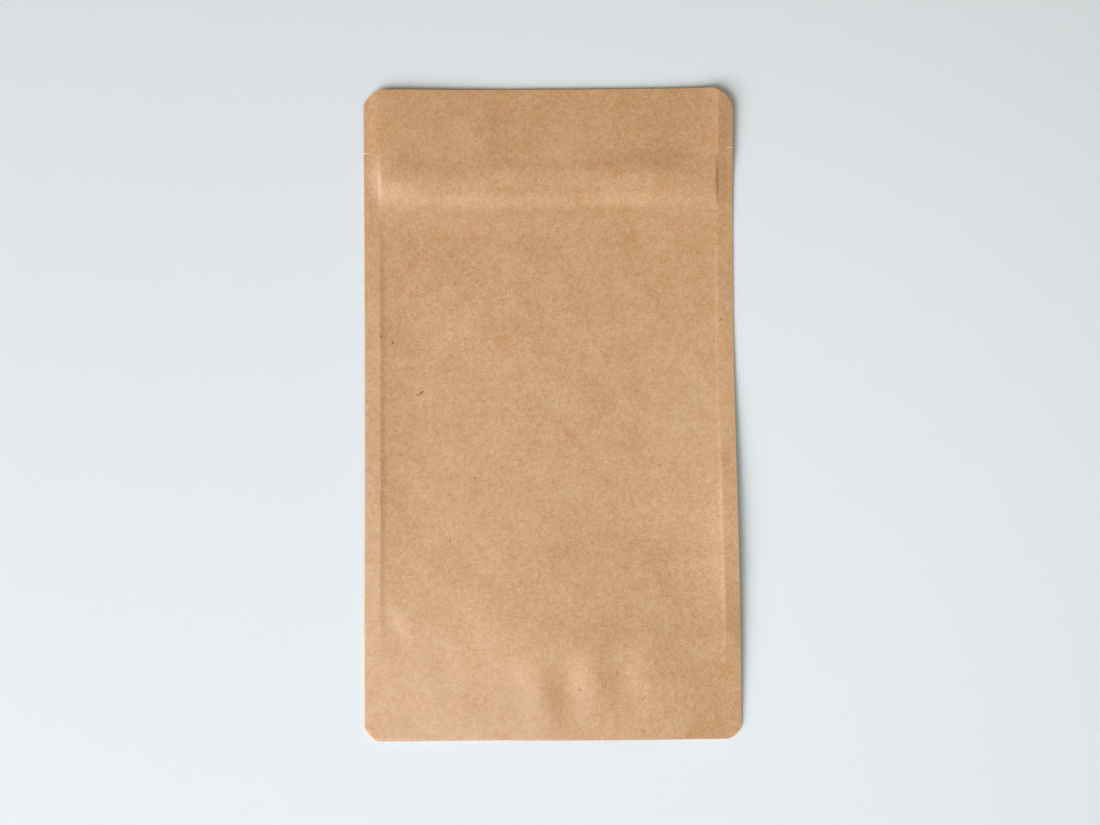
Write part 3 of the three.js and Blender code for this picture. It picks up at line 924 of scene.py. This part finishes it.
def layerTree(inputs):
    tree = newTree("pressedLayer", inputs)
    nodes, links = tree.nodes, tree.links
    source = nodes.new("NodeGroupInput")
    size = {label: Flow(tree, source.outputs[label]) for label in inputs}
    lift = nodes.new("GeometryNodeSetPosition")
    links.new(source.outputs["Geometry"], lift.inputs["Geometry"])
    links.new(pressedPlace(tree, size), lift.inputs["Position"])
    sheet = thickened(tree, lift.outputs[0], size["Laminate"] * mm)
    real = nodes.new("GeometryNodeRealizeInstances")
    links.new(painted(tree, sheet, source, size["Place In Stack"]), real.inputs[0])
    last = nodes.new("NodeGroupOutput")
    links.new(real.outputs[0], last.inputs[0])
    return tree


def meshValues(elements, label, kind=float, width=1):  # one row for each element
    values = np.zeros(len(elements) * width, dtype=kind)
    elements.foreach_get(label, values)
    return values if width == 1 else values.reshape(-1, width)


def dropEmptySlot(mesh):  # the blank had no material, so the first slot of the pressed layer is empty
    used = meshValues(mesh.polygons, "material_index", np.int32)
    mesh.materials.pop(index=0)
    mesh.polygons.foreach_set("material_index", used - 1)


# the map to bake on: the cut edge in four strips, then the upper and the lower side
bakeMap = {
    "upperStart": 0.045,
    "upperWide": 0.545,
    "lowerStart": 0.60,
    "lowerWide": 0.39,
    "stripStart": 0.004,
    "stripPitch": 0.008,
    "stripWide": 0.005,
    "margin": 0.01,
}


def unfoldMap(mesh):
    place = meshValues(mesh.vertices, "co", width=3)[meshValues(mesh.loops, "vertex_index", np.int32)] / mm
    faceOf = np.repeat(np.arange(len(mesh.polygons)), meshValues(mesh.polygons, "loop_total", np.int32))
    normal = meshValues(mesh.polygons, "normal", width=3)[faceOf]
    middle = meshValues(mesh.polygons, "center", width=3)[faceOf] / mm
    isCut, isLower = [meshValues(mesh.attributes[label].data, "value", bool)[faceOf]
                      for label in ("cutEdge", "lowerFace")]
    u = place[:, 0] / (2 * halfWidth) + 0.5
    v = place[:, 1] / (2 * halfLength) + 0.5
    onSide = np.abs(normal[:, 0]) > np.abs(normal[:, 1])
    strip = np.where(onSide, 0, 2) + (np.where(onSide, normal[:, 0], normal[:, 1]) > 0)
    isUpperCorner = place[:, 2] > middle[:, 2]
    stripU = bakeMap["stripStart"] + bakeMap["stripPitch"] * strip + bakeMap["stripWide"] * isUpperCorner
    stripV = np.where(onSide, v, u)
    lowerU = bakeMap["lowerStart"] + bakeMap["lowerWide"] * u
    upperU = bakeMap["upperStart"] + bakeMap["upperWide"] * u
    mapU = np.where(isCut, stripU, np.where(isLower, lowerU, upperU))
    mapV = bakeMap["margin"] + (1 - 2 * bakeMap["margin"]) * np.where(isCut, stripV, v)
    layer = mesh.uv_layers.new(name="OFBake")
    layer.data.foreach_set("uv", np.stack([mapU, mapV], axis=-1).ravel())
    for label in ("cutEdge", "lowerFace"):
        mesh.attributes.remove(mesh.attributes[label])


# from the front panel down: how far up each layer reaches, its columns' step and its notches' gape
gussetTop = bottomY + relief["Gusset Depth"]
layers = {
    "frontPanel": {"order": 0, "high": mouthY, "kraft": kraftFront, "step": 1.15, "gape": 0.55},
    "gussetFrontLeg": {"order": 1, "high": gussetTop, "kraft": kraftBack, "step": 2.5, "gape": 0.4},
    "gussetBackLeg": {"order": 2, "high": gussetTop, "kraft": kraftBack, "step": 2.5, "gape": 0.4},
    "backPanel": {"order": 3, "high": mouthY, "kraft": kraftBack, "step": 1.6, "gape": 0.12},
}
inputs = {**relief, "Place In Stack": 0, "Kraft": kraftFront, "Cut Edge": cutPaper, "Inner Film": innerFilm}
pressedLayer = layerTree(inputs)
for name, layer in layers.items():
    piece = cutBlank(name, layer["high"], layer["step"], layer["gape"])
    addModifier(piece, pressedLayer, {**inputs, "Place In Stack": layer["order"], "Kraft": layer["kraft"]})
    settle(piece)
    dropEmptySlot(piece.data)
    unfoldMap(piece.data)
    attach(piece, "root")
    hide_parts("pouch")
    print(f"layer: {name}, {len(piece.data.polygons)} faces")


# floor, light, room and camera, all in metres
stage = {
    "floorColour": (0.80, 0.80, 0.80),
    "floorSize": 8.0,
    "fadeFrom": 0.45,
    "fadeTo": 1.3,
    "backdrop": (0.72, 0.74, 0.75),
    "roomColour": (1.0, 0.778, 0.444),
    "roomStrength": 0.141,
}

# each light: bearing and height as seen from the pouch in degrees, distance, side and watts
lights = {
    "windowLight": {"bearing": -133.0, "height": 34.0, "away": 2.25, "side": 1.7, "watts": 83.0,
                    "colour": (0.853, 0.911, 1.0)},
    "ceilingLight": {"bearing": -11.0, "height": 67.0, "away": 0.35, "side": 0.33, "watts": 0.31,
                     "colour": (0.777, 0.973, 1.0)},
    "glossLight": {"bearing": -135.0, "height": 55.0, "away": 1.2, "side": 0.6, "watts": 18.0,
                   "colour": (1.0, 0.98, 1.0), "glossOnly": True},
}

camera = {
    "lens": 50.0,
    "place": (-0.00292, -0.0307, 0.5332),
    "tilt": (3.245, -0.272, -0.449),
}


# leads two shaders, mixed by share, to the end of a tree
def mixShader(tree, share, first, second, end):
    node = tree.nodes.new("ShaderNodeMixShader")
    feed(tree, node.inputs[0], share)
    tree.links.new(first, node.inputs[1])
    tree.links.new(second, node.inputs[2])
    tree.links.new(node.outputs[0], end)


def seenDirectly(tree):  # 1 where the camera looks straight at it, 0 where it only lights something
    return Flow(tree, tree.nodes.new("ShaderNodeLightPath").outputs["Is Camera Ray"])


def fadeAway(material):  # far from the pouch the floor turns into the backdrop, to the eye only
    tree = material.node_tree
    end = tree.nodes["Material Output"].inputs["Surface"]
    place = tree.nodes.new("ShaderNodeNewGeometry")
    away = tree.nodes.new("ShaderNodeVectorMath")
    away.operation = "LENGTH"
    tree.links.new(place.outputs["Position"], away.inputs[0])
    fade = smooth(Flow(tree, away.outputs["Value"]), stage["fadeFrom"], stage["fadeTo"])
    beyond = tree.nodes.new("ShaderNodeEmission")
    beyond.inputs["Color"].default_value = (*stage["backdrop"], 1)
    mixShader(tree, fade * seenDirectly(tree), end.links[0].from_socket, beyond.outputs[0], end)


def layFloor():
    material = plainMaterial("floorPaint", stage["floorColour"], 0.9, variation=0.002, perMillimetre=0.05)
    fadeAway(material)
    reach = stage["floorSize"] / 2
    mesh = bpy.data.meshes.new("floor")
    mesh.from_pydata([(-reach, -reach, 0), (reach, -reach, 0), (reach, reach, 0), (-reach, reach, 0)],
                     [], [(0, 1, 2, 3)])
    mesh.materials.append(material)
    floor = bpy.data.objects.new("floor", mesh)
    bpy.context.scene.collection.objects.link(floor)


def hangLight(name, facts):
    light = bpy.data.lights.new(name, "AREA")
    light.size = facts["side"]
    light.energy = facts["watts"]
    light.color = facts["colour"]
    lamp = bpy.data.objects.new(name, light)
    bpy.context.scene.collection.objects.link(lamp)
    bearing, height = math.radians(facts["bearing"]), math.radians(facts["height"])
    flat = facts["away"] * math.cos(height)
    lamp.location = (flat * math.cos(bearing), flat * math.sin(bearing), facts["away"] * math.sin(height))
    lamp.rotation_euler = (-lamp.location).to_track_quat("-Z", "Y").to_euler()
    lamp.visible_camera = False
    lamp.visible_diffuse = not facts.get("glossOnly", False)


def lightRoom():  # the room lights the scene, and the backdrop shows beyond the floor
    world = bpy.data.worlds.new("softRoom")
    bpy.context.scene.world = world
    world.use_nodes = True
    tree = world.node_tree
    room = tree.nodes["Background"]
    room.inputs["Color"].default_value = (*stage["roomColour"], 1)
    room.inputs["Strength"].default_value = stage["roomStrength"]
    backdrop = tree.nodes.new("ShaderNodeBackground")
    backdrop.inputs["Color"].default_value = (*stage["backdrop"], 1)
    end = tree.nodes["World Output"].inputs["Surface"]
    mixShader(tree, seenDirectly(tree), room.outputs[0], backdrop.outputs[0], end)


def placeCamera():
    data = bpy.data.cameras.new("camera")
    data.lens = camera["lens"]
    data.sensor_width = 36.0
    viewer = bpy.data.objects.new("camera", data)
    bpy.context.scene.collection.objects.link(viewer)
    viewer.location = camera["place"]
    viewer.rotation_euler = [math.radians(v) for v in camera["tilt"]]
    bpy.context.scene.camera = viewer


layFloor()
for name, facts in lights.items():
    hangLight(name, facts)
lightRoom()
placeCamera()
bpy.context.scene.view_settings.view_transform = "Standard"
print("stage: floor, window light, soft room, camera")
